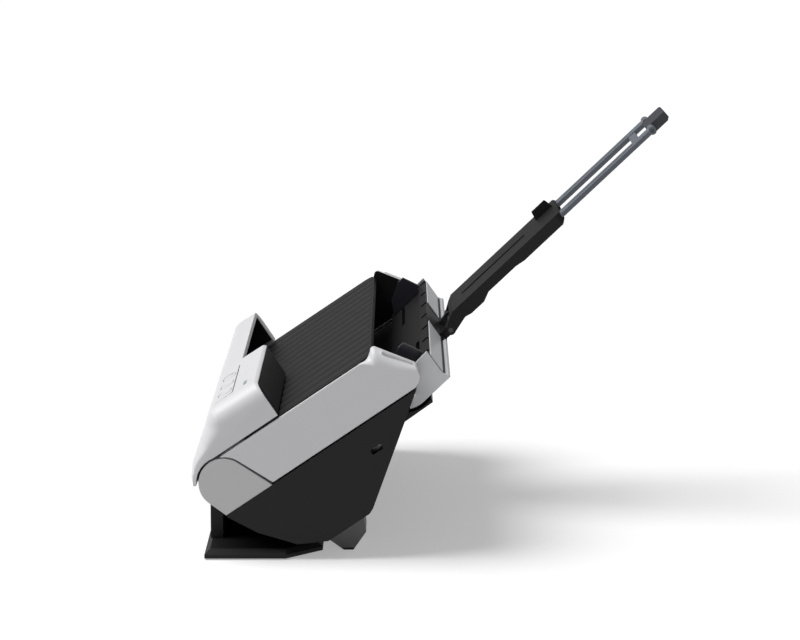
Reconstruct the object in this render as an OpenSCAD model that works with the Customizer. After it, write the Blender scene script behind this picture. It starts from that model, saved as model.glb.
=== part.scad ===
// Compact sheet-fed document scanner on a tilted stand.
// The casing is drawn about the axis of its cover hinge: y runs up the paper path, z square to it.

/* [Scanner] */
// Width over the two side covers
scanner_w = 298; // [270:1:330]
// Angle of the paper path above the table, in degrees
path_angle = 34; // [32:0.5:36]
// Height of the cover hinge above the table
hinge_z = 43.3; // [43.3:0.1:48]
// Distance of the cover hinge in front of the part's centre
hinge_y = 118.25; // [100:0.25:140]
// Gap that shows between two casings
split_gap = 1; // [0.7:0.1:1.3]
// Wall of the large mouldings
wall = 2.2; // [1.8:0.1:2.6]

/* [Upper unit] */
// Radius of the round hinge caps
cap_r = 13.8; // [13:0.1:14.2]
// Height of the ribbed cover above the hinge axis
cover_v = 13.7; // [13.4:0.1:14.4]
// Depth of the upper unit below the hinge axis
unit_v = 14.7; // [14.3:0.1:15.4]
// Distance of the ribbed cover's rear edge from the hinge
cover_u = 106.6; // [104:0.2:107.4]
// Thickness of the ribbed cover
cover_t = 2.4; // [2:0.1:2.6]
// Pitch of the ribs across the cover
rib_pitch = 19.5; // [12:0.5:24]
// Thickness of each side cover across the width
side_t = 11; // [9:0.5:12]
// Length of the side covers from the hinge to the rim's rear edge
rim_u = 124.4; // [122:0.2:126]
// Height of the rims above the ribbed cover
rim_rise = 3.5; // [2.5:0.1:4]

/* [Lower housing] */
// Depth of the lower housing square to the path
lower_depth = 43.5; // [42:0.5:44.5]
// Distance that the lower housing starts in front of the hinge
lower_front = 9; // [8:0.5:10]
// Width of each rear foot
foot_w = 26; // [18:1:34]
// Distance of a rear foot's outer face from the side
foot_inset = 24; // [16:1:40]

/* [Stand] */
// Thickness of the stand's base plate
base_t = 5; // [4:0.5:6]
// Depth of the base plate from front to rear
base_d = 65; // [60:1:72]
// Distance that the base plate starts in front of the hinge
base_front = 11; // [9:0.5:13]
// Cut of the base plate's rear corners
base_cut = 20; // [12:1:26]
// Width of the upright wall
post_w = 242; // [200:2:250]
// Thickness of the upright wall
post_t = 7; // [5:0.5:8]
// Width of the saddle under the casing
saddle_w = 120; // [80:2:150]

/* [Front panel] */
// Height of the panel's top above the hinge axis
panel_v = 37; // [35:0.5:40]
// Distance of the output lip from the hinge
lip_u = 30.3; // [28:0.1:32]
// Distance of the control block's back from the hinge
block_u = 46.3; // [44:0.1:50]
// Distance of the control block's inner end from the middle
block_x = 24; // [22:1:40]
// Radius that rounds the panel's ends
end_round = 7; // [4:0.5:9]
// Height of the output opening under the control block
exit_h = 8; // [5:0.5:10]
// Length of each control key up the path
key_l = 8; // [6:0.5:9]
// Width of each control key
key_w = 9; // [6:0.5:11]
// Distance of the last key from the panel's right-hand end
key_inset = 35; // [33:1:38]
// Distance from one key to the next
key_pitch = 24; // [20:1:25]
// Travel of the control keys
key_travel = 0.8; // [0.5:0.1:1]

/* [Input tray] */
// Distance of the tray's pivot up the path
tray_u = 112.6; // [112:0.1:113.4]
// Depth of the tray's pivot below the hinge axis
tray_v = 10.3; // [9.8:0.1:10.8]
// Slope of the open tray past the path, in degrees
tray_angle = 9.5; // [8:0.5:10.5]
// Distance of the tray's outer skin from its pivot
skin_n = 16; // [15.4:0.1:16.4]
// Distance of the tray's lip from its pivot along the tray
lip_t = 20.3; // [19.6:0.1:20.8]
// Distance of each edge guide in from the side cover
guide_inset = 19; // [15:1:26]
// Height of the edge guides
guide_h = 13.9; // [10:0.1:14.4]

/* [Paper support] */
// Width of the arm
arm_w = 64; // [52:1:70]
// Distance of the arm's middle to the left of the scanner's middle
arm_x = 14; // [8:1:20]
// Length of the arm from its hinge
arm_l = 94; // [84:1:100]
// Thickness of the arm
arm_t = 6; // [5:0.5:7]
// Length of the rails out of the arm
rail_out = 72; // [60:1:76]
// Distance of each rail in from the arm's side
rail_side = 2; // [1.5:0.1:4]
// Width of one rail
rail_w = 14; // [9:0.5:15]
// Thickness of one rail
rail_t = 2.6; // [2.2:0.1:3]
// Length of the stop at the rails' end
stop_l = 12.4; // [10:0.2:16]

/* [Rollers and drive] */
// Radius of the driven rollers
roller_r = 9; // [8.6:0.1:9.4]
// Radius of the driven shafts
shaft_r = 3; // [2.5:0.1:3.4]
// Radius of the small pinch rollers
pinch_r = 5; // [4:0.1:5.6]
// Radius of the drive pulleys
pulley_r = 4.4; // [3.9:0.1:4.5]
// Radius of the motor's pulley
motor_pulley_r = 3.6; // [3.2:0.1:4.2]
// Thickness of the drive belt
belt_t = 1.2; // [0.9:0.1:1.5]

/* [Hidden] */
$fn = 48;

// Overrun of every cut, running clearance of shafts and seating clearance of fixed pieces
over = 1;
run = 0.05;
seat = 0.2;
hull_fn = 32;
half_w = scanner_w / 2;
inner_x = half_w - side_t;
gap_r = cap_r + 1.2 * split_gap;
under_v = -unit_v - split_gap;

// Helpers
function arc(r, a0, a1, n) = [for (i = [0:n]) let (a = a0 + (a1 - a0) * i / n) [r * cos(a), r * sin(a)]];
function unit(v) = v / norm(v);
function left_of(a, b) = let (d = unit(b - a)) [-d.y, d.x];
// Outline moved inwards by d; its points run anticlockwise
function inset(p, d) = [for (i = [0:len(p) - 1])
  let (a = p[(i + len(p) - 1) % len(p)], b = p[i], c = p[(i + 1) % len(p)],
       m = left_of(a, b), n = left_of(b, c))
  b + d * (m + n) / (1 + m * n)];
function tangent_angle(p, r, turn) = atan2(p.y, p.x) + turn * acos(r / norm(p));

// Extrudes an outline drawn in y and z from x0 to x1
module across(x0, x1) {
  translate([x0, 0, 0]) rotate([90, 0, 90]) linear_extrude(x1 - x0) children();
}
module rod(r, x0, x1, y, z) {
  translate([x0, y, z]) rotate([0, 90, 0]) cylinder(r = r, h = x1 - x0);
}
module block(x0, x1, y0, y1, z0, z1) {
  translate([x0, y0, z0]) cube([x1 - x0, y1 - y0, z1 - z0]);
}
module both_sides() {
  children();
  mirror([1, 0, 0]) children();
}
// Frame of the paper path, of the open tray and of the arm
module on_path() {
  translate([0, -hinge_y, hinge_z]) rotate([path_angle, 0, 0]) children();
}
module on_tray() {
  on_path() translate([0, tray_u, -tray_v]) rotate([tray_angle, 0, 0]) children();
}
module on_arm() {
  on_tray() translate([-arm_x, arm_axis_t, -arm_axis_n]) children();
}
function rounded(w, l, r) = [for (q = [[1, 1, 0], [-1, 1, 90], [-1, -1, 180], [1, -1, 270]])
  for (p = arc(r, q.z, q.z + 90, 5)) [q.x * (w / 2 - r) + p.x, q.y * (l / 2 - r) + p.y]];

// Stations across the width, from the side covers inwards
play = 0.3;
ear_t = 3.1;
ear_x = inner_x - play - ear_t;
tray_x = ear_x - play;
guide_x = inner_x - guide_inset;
frame_t = 2.4;
panel_ear_x = tray_x - frame_t - play;
panel_ear_t = 2.6;
guide_half = panel_ear_x - panel_ear_t - play;

// Stand
base_lip = 2;
base_bevel = 3;
pad_t = 1.2;
pad_proud = 0.8;
pad_r = 8;
base_z = pad_proud;
base_top = base_z + base_t;
front_y = -hinge_y - base_front;
base_y = front_y + base_d;
post_set = 2;
screw_r = 1.5;
screw_head_r = 3;
screw_head_t = 1.6;
screw_depth = 6;
module base_outline(d) {
  polygon([[-half_w + d, front_y + d], [half_w - d, front_y + d],
           [half_w - d, base_y - base_cut], [half_w - base_cut, base_y - d],
           [-half_w + base_cut, base_y - d], [-half_w + d, base_y - base_cut]]);
}
weight_w = 190;
weight_d = 34;
weight_t = 2.4;
weight_y = front_y + base_d / 2;
pad_places = [for (x = [-1, 1], y = [0, 1])
  [x * (half_w - base_cut - pad_r), y == 0 ? front_y + 2 * pad_r : base_y - 1.5 * pad_r]];
post_y = front_y + post_set;
saddle_y = post_y + post_t;
saddle_d = base_d - post_set - post_t - base_bevel;
stand_screws = [for (x = [-1, 0, 1]) [x * post_w * 0.4, post_y + post_t / 2]];
saddle_screws = [for (x = [-1, 1]) [x * saddle_w * 0.35, saddle_y + saddle_d * 0.2]];
module screw_cut() {
  translate([0, 0, -over]) cylinder(r = screw_head_r + seat, h = base_z + screw_head_t + 2 * seat + over);
  cylinder(r = screw_r + run, h = base_top + screw_depth + seat);
}
module stand_base() {
  color("#26272a") difference() {
    union() {
      translate([0, 0, base_z]) linear_extrude(base_lip) base_outline(0);
      hull() {
        translate([0, 0, base_z + base_lip]) linear_extrude(base_t / 100) base_outline(0);
        translate([0, 0, base_top - base_t / 100]) linear_extrude(base_t / 100) base_outline(base_bevel);
      }
    }
    for (p = pad_places) translate([p.x, p.y, -over])
      cylinder(r = pad_r + seat, h = over + pad_t + seat);
    for (p = concat(stand_screws, saddle_screws)) translate([p.x, p.y, 0]) screw_cut();
    translate([-weight_w / 2 - seat, weight_y - weight_d / 2 - seat, -over])
      cube([weight_w + 2 * seat, weight_d + 2 * seat, over + base_z + weight_t]);
  }
}
module stand_wall() {
  top = hinge_z - unit_v - split_gap;
  color("#222326") difference() {
    translate([-post_w / 2, post_y, base_top]) cube([post_w, post_t, top - base_top]);
    on_path() across(-half_w, half_w) polygon(inset(lower_pts, -seat));
    on_path() rod(gap_r + 2 * wall, -half_w, half_w, 0, 0);
    for (p = stand_screws) translate([p.x, p.y, 0]) screw_cut();
  }
}
module stand_saddle() {
  color("#222326") difference() {
    translate([-saddle_w / 2, saddle_y, base_top]) cube([saddle_w, saddle_d, hinge_z - base_top - unit_v]);
    on_path() across(-half_w, half_w) polygon(inset(lower_pts, -seat));
    on_path() block(-half_w, half_w, -lower_depth, lower_len, under_v - seat, hinge_z);
    for (p = saddle_screws) translate([p.x, p.y, 0]) screw_cut();
  }
}
module stand_weight() {
  color("#7c8086") difference() {
    translate([-weight_w / 2, weight_y - weight_d / 2, base_z]) cube([weight_w, weight_d, weight_t - seat]);
    for (p = saddle_screws) translate([p.x, p.y, 0])
      cylinder(r = screw_head_r + 2 * seat, h = base_top);
  }
}
module rubber_pads() {
  color("#1b1b1d") {
    for (p = pad_places) translate([p.x, p.y, 0]) cylinder(r = pad_r, h = pad_t);
    both_sides() intersection() {
      on_path() across(foot_x - foot_w, foot_x) polygon(foot_pts);
      translate([0, -half_w, 0]) cube([half_w, scanner_w, pad_t]);
    }
  }
}
module stand_screws() {
  color("#8a8d92") for (p = concat(stand_screws, saddle_screws)) translate([p.x, p.y, base_z + seat]) {
    cylinder(r = screw_head_r, h = screw_head_t);
    cylinder(r = screw_r, h = base_top + screw_depth - base_z - seat);
  }
}

// Lower housing and its feet
low_setback = 7;
low_u = rim_u - low_setback;
lower_len = low_u + lower_front;
lower_shares = [[0, 0], [0, 0.03], [0.07, 0.41], [0.184, 0.815], [0.304, 1], [0.521, 1],
                [0.548, 0.966], [0.876, 0.267], [1, 0]];
lower_pts = [for (s = lower_shares) [s.x * lower_len - lower_front, under_v - s.y * lower_depth]];
// The same outline with its front edge run straight up, for the inner walls
front_run = (lower_pts[1].x - lower_pts[2].x) / (lower_pts[1].y - lower_pts[2].y);
core_front = lower_pts[2].x + front_run * (under_v - lower_pts[2].y);
core_pts = concat([[core_front, under_v]], [for (i = [2:8]) lower_pts[i]]);
foot_x = half_w - foot_inset;
foot_l = 29;
foot_h = 17.5;
foot_shares = [[0, -0.15], [0.26, 1], [0.76, 0.68], [1, -0.15]];
foot_pts = [for (s = foot_shares)
  [lower_pts[4].x - foot_l * 0.18 + s.x * foot_l, under_v - lower_depth - s.y * foot_h]];
trough_r = 10.2;
swing_gap = 1.6;
swing_r = skin_n + swing_gap;
lock_w = 7;
lock_h = 3;
lock_u = 80.6;
lock_v = 31.4;
port_x = 84;
rear_angle = atan2(lower_pts[7].y - lower_pts[6].y, lower_pts[7].x - lower_pts[6].x);
module on_rear() {
  on_path() translate([0, lower_pts[6].x, lower_pts[6].y]) rotate([rear_angle, 0, 0]) children();
}
port_s = 18;
usb_x = 60;
usb_w = 9;
usb_h = 4;
dc_r = 3;
dc_s = 9;
port_d = 13;
module lower_housing() {
  color("#242426") difference() {
    on_path() across(-half_w, half_w) polygon(lower_pts);
    on_path() across(-half_w + wall, half_w - wall) polygon(inset(core_pts, wall));
    on_path() block(-inner_x, inner_x, wall - lower_front, low_u - 2 * wall, under_v - 2 * wall, over);
    on_path() rod(trough_r + guide_t + seat, -inner_x, inner_x, tray_u, -tray_v);
    on_path() both_sides() rod(swing_r, tray_x - flange_t - play, inner_x, tray_u, -tray_v);
    on_path() block(half_w - wall - over, half_w + over, lock_u - lock_w / 2, lock_u + lock_w / 2,
      -lock_v - lock_h / 2, -lock_v + lock_h / 2);
    on_rear() block(-port_x - dc_s / 2 - seat, -port_x + dc_s / 2 + seat,
      port_s - dc_s / 2 - seat, port_s + dc_s / 2 + seat, -over, wall + over);
    on_rear() block(-usb_x - usb_w / 2 - seat, -usb_x + usb_w / 2 + seat,
      port_s - usb_h / 2 - seat, port_s + usb_h / 2 + seat, -over, wall + over);
    on_path() housing_screw_cuts();
  }
}
module rear_feet() {
  color("#444447") both_sides() difference() {
    on_path() across(foot_x - foot_w, foot_x) polygon(foot_pts);
    on_path() block(0, half_w, -lower_depth, lower_len, under_v - lower_depth - seat / 2, hinge_z);
    on_path() across(0, half_w) polygon(inset(lower_pts, -seat / 2));
    translate([0, -half_w, -hinge_z]) cube([half_w, scanner_w, hinge_z + pad_t]);
  }
}
cap_foot = 7.8;
cap_b = [cap_r + cap_foot, under_v];
cap_c = [-lower_front, under_v];
cap_angles = [tangent_angle(cap_b, cap_r, 1), tangent_angle(cap_c, cap_r, -1)];
pin_r = 3;
pin_depth = 7;
module hinge_cap() {
  difference() {
    union() {
      rod(cap_r, inner_x + play, half_w, 0, 0);
      across(inner_x + play, half_w)
        polygon([cap_c, cap_b, for (a = cap_angles) [cap_r * cos(a), cap_r * sin(a)]]);
    }
    rod(pin_r + run, inner_x, inner_x + pin_depth, 0, 0);
  }
}
module hinge_cap_right() {
  color("#a2a2a4") on_path() hinge_cap();
}
module hinge_cap_left() {
  color("#a2a2a4") on_path() mirror([1, 0, 0]) hinge_cap();
}
module hinge_pins() {
  color("#8f9297") on_path() both_sides() rod(pin_r, guide_half + play, inner_x + pin_depth - seat, 0, 0);
}

// Path plate with its trough for the tray
guide_t = 1.6;
trough_cut = 3.6;
roller_proud = 0.65;
roller_v = roller_r - roller_proud - under_v;
feed_u = 62;
pick_u = 84;
turn_u = 14;
sensor_l = 12;
sensor_w = 224;
low_sensor_u = 28;
up_sensor_u = 42;
glass_t = 1.2;
sensor_h = 11;
flange_t = 2.6;
pick_sleeves = [[-30, -8], [8, 30]];
feed_sleeves = [[-96, -76], [-40, -20], [20, 40], [76, 96]];
module sleeve_slots(sleeves, u) {
  for (s = sleeves) block(s[0] - over, s[1] + over, u - roller_r * 0.75, u + roller_r * 0.75,
    under_v - 3 * guide_t, over + under_v);
}
module lower_guide() {
  color("#2a2a2c") on_path() difference() {
    union() {
      block(-tray_x, tray_x, play + wall - lower_front, tray_u - trough_r, under_v - guide_t, under_v);
      difference() {
        rod(trough_r + guide_t, -tray_x, tray_x, tray_u, -tray_v);
        block(-half_w, half_w, tray_u - 2 * trough_r, tray_u + 2 * trough_r, under_v, over + trough_r);
        across(-half_w, half_w) polygon([[tray_u, -tray_v], [low_u + trough_r, under_v],
          [low_u + trough_r, under_v - 2 * trough_r], [tray_u - trough_cut, under_v - 2 * trough_r]]);
      }
    }
    rod(trough_r, -half_w, half_w, tray_u, -tray_v);
    both_sides() rod(swing_r, tray_x - flange_t - play, half_w, tray_u, -tray_v);
    sleeve_slots(pick_sleeves, pick_u);
    sleeve_slots(feed_sleeves, feed_u);
    sleeve_slots(feed_sleeves, turn_u);
    block(-sensor_w / 2 - seat, sensor_w / 2 + seat, low_sensor_u - seat, low_sensor_u + sensor_l + seat,
      under_v - 2 * guide_t, over + under_v);
  }
}
hub_r = 4.4;
tray_pin_r = 2;
module chassis_sides() {
  color("#9a9da2") on_path() both_sides() difference() {
    union() {
      across(ear_x, inner_x - play) polygon(inset(core_pts, wall + play));
      rod(hub_r, ear_x, inner_x - play, tray_u, -tray_v);
      block(ear_x, inner_x - play, tray_u - hub_r * 0.9, tray_u + hub_r * 0.4, under_v - 2 * wall, -tray_v);
      rod(2 * pin_r, ear_x, inner_x - play, 0, 0);
      block(ear_x, inner_x - play, -1.5 * pin_r, 1.7 * pin_r, under_v - 2 * wall, 0);
    }
    rod(pin_r + run, 0, half_w, 0, 0);
    rod(tray_pin_r + run, 0, half_w, tray_u, -tray_v);
    for (u = [pick_u, feed_u, turn_u]) rod(shaft_r + run, 0, half_w, u, -roller_v);
    rod(motor_r * 0.5, 0, half_w, motor_u, -motor_v);
  }
}
module tray_pins() {
  color("#8f9297") on_path() both_sides()
    rod(tray_pin_r, tray_x - flange_t, inner_x - play, tray_u, -tray_v);
}

// Line sensors, boards, motor and ports
module sensor(u, v0, v1) {
  difference() {
    block(-sensor_w / 2, sensor_w / 2, u, u + sensor_l, v0, v1);
    block(-sensor_w / 2 + wall, sensor_w / 2 - wall, u + wall, u + sensor_l - wall,
      (v0 + v1) / 2, v1 + over);
  }
}
module lower_sensor() {
  color("#3a3b40") on_path() sensor(low_sensor_u, under_v - glass_t - sensor_h, under_v - glass_t);
}
module lower_sensor_glass() {
  color("#9fb4bd") on_path() block(-sensor_w / 2, sensor_w / 2, low_sensor_u, low_sensor_u + sensor_l,
    under_v - glass_t, under_v);
}
motor_r = 11.5;
motor_l = 38;
motor_u = 45;
motor_v = 43.5;
motor_shaft_r = 1.5;
board_t = 1.6;
board_w = 150;
board_l = 26;
board_lift = 3;
module main_board() {
  v = under_v - lower_depth + wall + board_lift;
  color("#2f6b4f") on_path() {
    block(-board_w / 2, board_w / 2, lower_pts[4].x + seat, lower_pts[4].x + board_l, v, v + board_t);
    for (i = [-2:2]) block(i * board_w * 0.18 - board_lift, i * board_w * 0.18 + board_lift,
      lower_pts[4].x + board_l * 0.3, lower_pts[4].x + board_l * 0.55, v + board_t, v + 2 * board_t);
    for (i = [-1, 1]) block(i * board_w * 0.42 - board_lift, i * board_w * 0.42 + board_lift,
      lower_pts[4].x + board_l * 0.3, lower_pts[4].x + board_l * 0.6, v - board_lift + seat / 2, v);
  }
}
module motor() {
  color("#85888d") on_path() {
    rod(motor_r, -ear_x + seat, -ear_x + motor_l, motor_u, -motor_v);
    rod(motor_shaft_r, pulley_x - belt_gap / 4, -ear_x + over, motor_u, -motor_v);
  }
}
module dc_inlet() {
  color("#1c1c1e") on_rear() difference() {
    block(-port_x - dc_s / 2, -port_x + dc_s / 2, port_s - dc_s / 2, port_s + dc_s / 2, 0, port_d);
    translate([-port_x, port_s, -over]) cylinder(r = dc_r, h = port_d - wall + over);
  }
}
module usb_port() {
  color("#b9bcc0") on_rear() difference() {
    block(-usb_x - usb_w / 2, -usb_x + usb_w / 2, port_s - usb_h / 2, port_s + usb_h / 2, 0, port_d);
    block(-usb_x - usb_w / 2 + play, -usb_x + usb_w / 2 - play, port_s - usb_h / 2 + play,
      port_s + usb_h / 2 - play, -over, port_d - wall);
  }
}
rest_t = 4;
rest_l = 18.6;
module tray_rest() {
  a = lower_pts[7];
  color("#1a1a1c") on_path() difference() {
    across(-tray_x, tray_x) polygon([[a.x - rest_t * 0.8, a.y - rest_t * 0.6],
      [a.x + rest_l - rest_t / 4, a.y - rest_t * 0.45], [a.x + rest_l, a.y + rest_t / 2],
      [a.x + rest_t * 1.2, a.y + rest_t]]);
    across(-half_w, half_w) polygon(lower_pts);
    rod(swing_r + play, -half_w, half_w, tray_u, -tray_v);
  }
}
module housing_screw_cuts() {
  for (p = screw_places) translate([p.x, p.y, under_v - lower_depth - over]) {
    cylinder(r = screw_r + run, h = over + wall + seat);
    cylinder(r = screw_head_r + seat, h = over + screw_head_t * 0.6);
  }
}
screw_places = [for (x = [-0.62, -0.25, 0.25, 0.62]) [x * half_w, (lower_pts[4].x + lower_pts[5].x) / 2]];
module housing_screws() {
  color("#8a8d92") on_path() for (p = screw_places) translate([p.x, p.y, under_v - lower_depth]) {
    cylinder(r = screw_head_r, h = screw_head_t * 0.5);
    cylinder(r = screw_r, h = wall);
  }
}

// Driven rollers on the left-hand belt
belt_gap = 2;
pulley_x = -half_w + wall + belt_gap;
pulley_l = 4.6;
module roller(sleeves, u) {
  rod(shaft_r, pulley_x, ear_x + ear_t + seat, u, -roller_v);
  rod(pulley_r, pulley_x, pulley_x + pulley_l, u, -roller_v);
  for (s = sleeves) rod(roller_r, s[0], s[1], u, -roller_v);
}
module pickup_roller() {
  color("#55565a") on_path() roller(pick_sleeves, pick_u);
}
module feed_roller() {
  color("#55565a") on_path() roller(feed_sleeves, feed_u);
}
module turn_roller() {
  color("#55565a") on_path() roller(feed_sleeves, turn_u);
}
module motor_pulley() {
  color("#c8a456") on_path() difference() {
    rod(motor_pulley_r, pulley_x, pulley_x + pulley_l, motor_u, -motor_v);
    rod(motor_shaft_r + run, pulley_x - over, pulley_x + pulley_l + over, motor_u, -motor_v);
  }
}
module belt_outline(d) {
  hull() {
    translate([pick_u, -roller_v]) circle(r = pulley_r + d, $fn = hull_fn);
    translate([turn_u, -roller_v]) circle(r = pulley_r + d, $fn = hull_fn);
    translate([motor_u, -motor_v]) circle(r = motor_pulley_r + d, $fn = hull_fn);
  }
}
module drive_belt() {
  color("#1d1d1f") on_path() across(pulley_x, pulley_x + pulley_l) difference() {
    belt_outline(play + belt_t);
    belt_outline(play);
  }
}

// Upper unit
floor_v = cover_v + split_gap;
cover_gap = 0.9;
side_b = [cap_b.x + 1.3 * split_gap, -unit_v];
side_a = tangent_angle(side_b, gap_r, 1);
rim_l = 15;
rim_h = unit_v + cover_v + rim_rise;
rim_shares = [[-0.227, 0.047], [-0.073, 0.147], [0, 0.323], [-1, 1]];
side_pts = concat([side_b, [low_u, -unit_v]],
  [for (s = rim_shares) [rim_u + s.x * rim_l, s.y * rim_h - unit_v]],
  [[cover_u + cover_gap, cover_v], [sqrt(pow(gap_r, 2) - pow(cover_v, 2)), cover_v],
   [gap_r * cos(side_a), gap_r * sin(side_a)]]);
frame_u = 86.6;
module side_cover() {
  difference() {
    across(inner_x, half_w) polygon(side_pts);
    rod(gap_r, inner_x - over, half_w + over, 0, 0);
    across(inner_x - over, half_w - wall) difference() {
      polygon(inset(side_pts, wall));
      translate([frame_u, -rim_u]) square(2 * rim_u);
      circle(r = gap_r + wall);
    }
    rim_insert_shape(seat / 2, over);
  }
}
insert_x = 3;
insert_t = 1.2;
module rim_insert_shape(d, up) {
  a = side_pts[5];
  b = side_pts[4];
  m = -left_of(b, a);
  p = a + (b - a) * 0.25;
  q = a + (b - a) * 0.92;
  e = unit(b - a) * d;
  across(inner_x + insert_x - d, half_w - insert_x + d)
    polygon([p - m * insert_t - e, p + m * up - e, q + m * up + e, q - m * insert_t + e]);
}
module side_cover_right() {
  color("#ececee") on_path() side_cover();
}
module side_cover_left() {
  color("#ececee") on_path() mirror([1, 0, 0]) side_cover();
}
module rim_inserts() {
  color("#b9bac0") on_path() both_sides() rim_insert_shape(0, 0);
}

exit_u = 16;
exit_r = 6.2;
exit_axis_v = 7.9;
pinch_shaft_r = 2;
slot_play = 0.8;
rib_d = 1.2;
rib_cut = 0.4;
cover_x = inner_x - seat;
module ribbed_cover() {
  n = floor(cover_x / rib_pitch);
  color("#38383b") on_path() difference() {
    block(-cover_x, cover_x, side_pts[7].x, cover_u, cover_v - cover_t, cover_v);
    for (i = [-n:n]) block(i * rib_pitch - rib_d / 2, i * rib_pitch + rib_d / 2,
      exit_u + exit_r + 2 * slot_play, cover_u - wall, cover_v - rib_cut, cover_v + over);
    for (s = feed_sleeves) block(s[0] - slot_play, s[1] + slot_play,
      exit_u - exit_r - slot_play, exit_u + exit_r + slot_play, cover_v - 2 * cover_t, cover_v + over);
  }
}
sep_r = 6.5;
sep_u = frame_u - wall - sep_r - 2 * play;
sep_v = unit_v + run - sep_r;
pinch_v = unit_v + run - pinch_r;
drum_r = cap_r - 2 * play;
frame_top = cover_v - cover_t - seat;
floor_t = 1.9;
module upper_frame() {
  color("#2b2b2e") on_path() difference() {
    union() {
      difference() {
        rod(drum_r, -guide_half, guide_half, 0, 0);
        rod(drum_r - wall, -half_w, half_w, 0, 0);
        block(-half_w, half_w, side_pts[7].x - play, 2 * drum_r, -2 * drum_r, 2 * drum_r);
      }
      block(-tray_x, tray_x, -floor_t, frame_u, -unit_v, floor_t - unit_v);
      block(-tray_x, tray_x, frame_u - wall, frame_u, -unit_v, frame_top);
      both_sides() {
        rod(2 * pin_r, tray_x - frame_t, tray_x, 0, 0);
        across(tray_x - frame_t, tray_x)
          polygon([[0, -2 * pin_r], [pin_r, -unit_v], [frame_u, -unit_v], [frame_u, frame_top],
                   [2 * pin_r, frame_top], [0, 2 * pin_r]]);
        across(tray_x - over, inner_x - seat / 2)
          polygon([[cap_r + 2 * pin_r, play - unit_v], [frame_u - wall / 2, play - unit_v],
                   [frame_u - wall / 2, frame_top], [cap_r + 2 * pin_r, frame_top]]);
      }
    }
    rod(pin_r + run, -half_w, half_w, 0, 0);
    rod(pinch_shaft_r + run, -half_w, half_w, exit_u, exit_axis_v);
    rod(pinch_shaft_r + run, -half_w, half_w, feed_u, -pinch_v);
    rod(pinch_shaft_r + run, -half_w, half_w, sep_u, -sep_v);
    for (s = pick_sleeves) block(s[0] - slot_play, s[1] + slot_play,
      sep_u - sep_r - slot_play, sep_u + sep_r + play, -2 * unit_v, slot_play - sep_v);
    for (s = feed_sleeves) block(s[0] - slot_play, s[1] + slot_play,
      feed_u - pinch_r - slot_play, feed_u + pinch_r + slot_play, -2 * unit_v, -pinch_v);
    block(-sensor_w / 2 - seat, sensor_w / 2 + seat, up_sensor_u - seat,
      up_sensor_u + sensor_l + seat, -2 * unit_v, 0);
  }
}
module upper_sensor() {
  color("#3a3b40") on_path() difference() {
    block(-sensor_w / 2, sensor_w / 2, up_sensor_u, up_sensor_u + sensor_l,
      glass_t - unit_v, sensor_h + glass_t - unit_v);
    block(-sensor_w / 2 + wall, sensor_w / 2 - wall, up_sensor_u + wall, up_sensor_u + sensor_l - wall,
      -unit_v, sensor_h / 2 - unit_v);
  }
}
module upper_sensor_glass() {
  color("#9fb4bd") on_path() block(-sensor_w / 2, sensor_w / 2, up_sensor_u, up_sensor_u + sensor_l,
    -unit_v, glass_t - unit_v);
}
module idler(r, sleeves, end, u, v) {
  rod(pinch_shaft_r, -end, end, u, v);
  for (s = sleeves) rod(r, s[0], s[1], u, v);
}
module separation_roller() {
  color("#6a6b70") on_path() idler(sep_r, pick_sleeves, tray_x, sep_u, -sep_v);
}
module feed_pinch_roller() {
  color("#6a6b70") on_path() idler(pinch_r, feed_sleeves, tray_x, feed_u, -pinch_v);
}
module exit_roller() {
  color("#55565a") on_path() idler(exit_r, feed_sleeves, tray_x, exit_u, exit_axis_v);
}

// Front panel
tip_v = 7.7;
panel_tip = [-gap_r - seat, tip_v];
panel_size = [block_u, panel_v] - panel_tip;
tip_angle = 154.5;
panel_shares = [[1, 0.932], [0.976, 0.976], [0.547, 1], [0.499, 0.983], [0.454, 0.918], [0.401, 0.812],
                [0.253, 0.587], [0.103, 0.355], [0.023, 0.157], [0, 0]];
panel_top = [for (s = panel_shares) panel_tip + [s.x * panel_size.x, s.y * panel_size.y]];
open_pts = concat([[panel_tip.x, -panel_v], [2 * block_u, -panel_v], [2 * block_u, panel_top[0].y]],
                  [for (i = [1:len(panel_top) - 1]) panel_top[i]]);
key_u = 24;
key_v = panel_top[2].y - seat / 2;
key_round = 1.6;
key_places = [for (i = [2:-1:0]) half_w - key_inset - i * key_pitch];
lens_inset = 26;
lens_x = half_w - lens_inset;
lens_u = 37;
lens_w = 11;
lens_l = 1.8;
lens_v = panel_top[1].y + seat;
cheek_x = inner_x - 1.5 * split_gap;
line_w = 0.7;
line_x = key_places[0] - key_inset * 0.6;
line_end = lens_x + lens_w * 0.45;
tick_w = 0.8;
tick_d = 0.5;
tick_l = 7;
tick_x = key_places[0] - key_w;
line_l = 12;
line_turn = 70;
module key_shape(d) {
  polygon(rounded(key_w + 2 * d, key_l + 2 * d, key_round + d));
}
// The room under the panel, behind its lip and behind its block
module panel_room() {
  rod(gap_r, -2 * half_w, 2 * half_w, 0, 0);
  across(-half_w - over, half_w + over)
    polygon([[0, floor_v], [0, 0], 3 * gap_r * [cos(tip_angle), sin(tip_angle)],
             [-2 * panel_v, -2 * panel_v], [3 * block_u, -2 * panel_v], [3 * block_u, floor_v]]);
  block(-2 * half_w, block_x, lip_u, 3 * block_u, 0, 2 * panel_v);
  block(-2 * half_w, 2 * half_w, block_u, 3 * block_u, 0, 2 * panel_v);
}
end_x = inner_x + seat / 2;
end_split = 0.16;
end_angles = [105, 130];
end_start = end_x + seat / 2;
function end_at(a) = half_w - end_round * (1 - sin(a));
module panel_slice(a) {
  across(end_at(a) - seat, end_at(a)) offset(delta = end_round * (cos(a) - 1)) polygon(open_pts);
}
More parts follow.
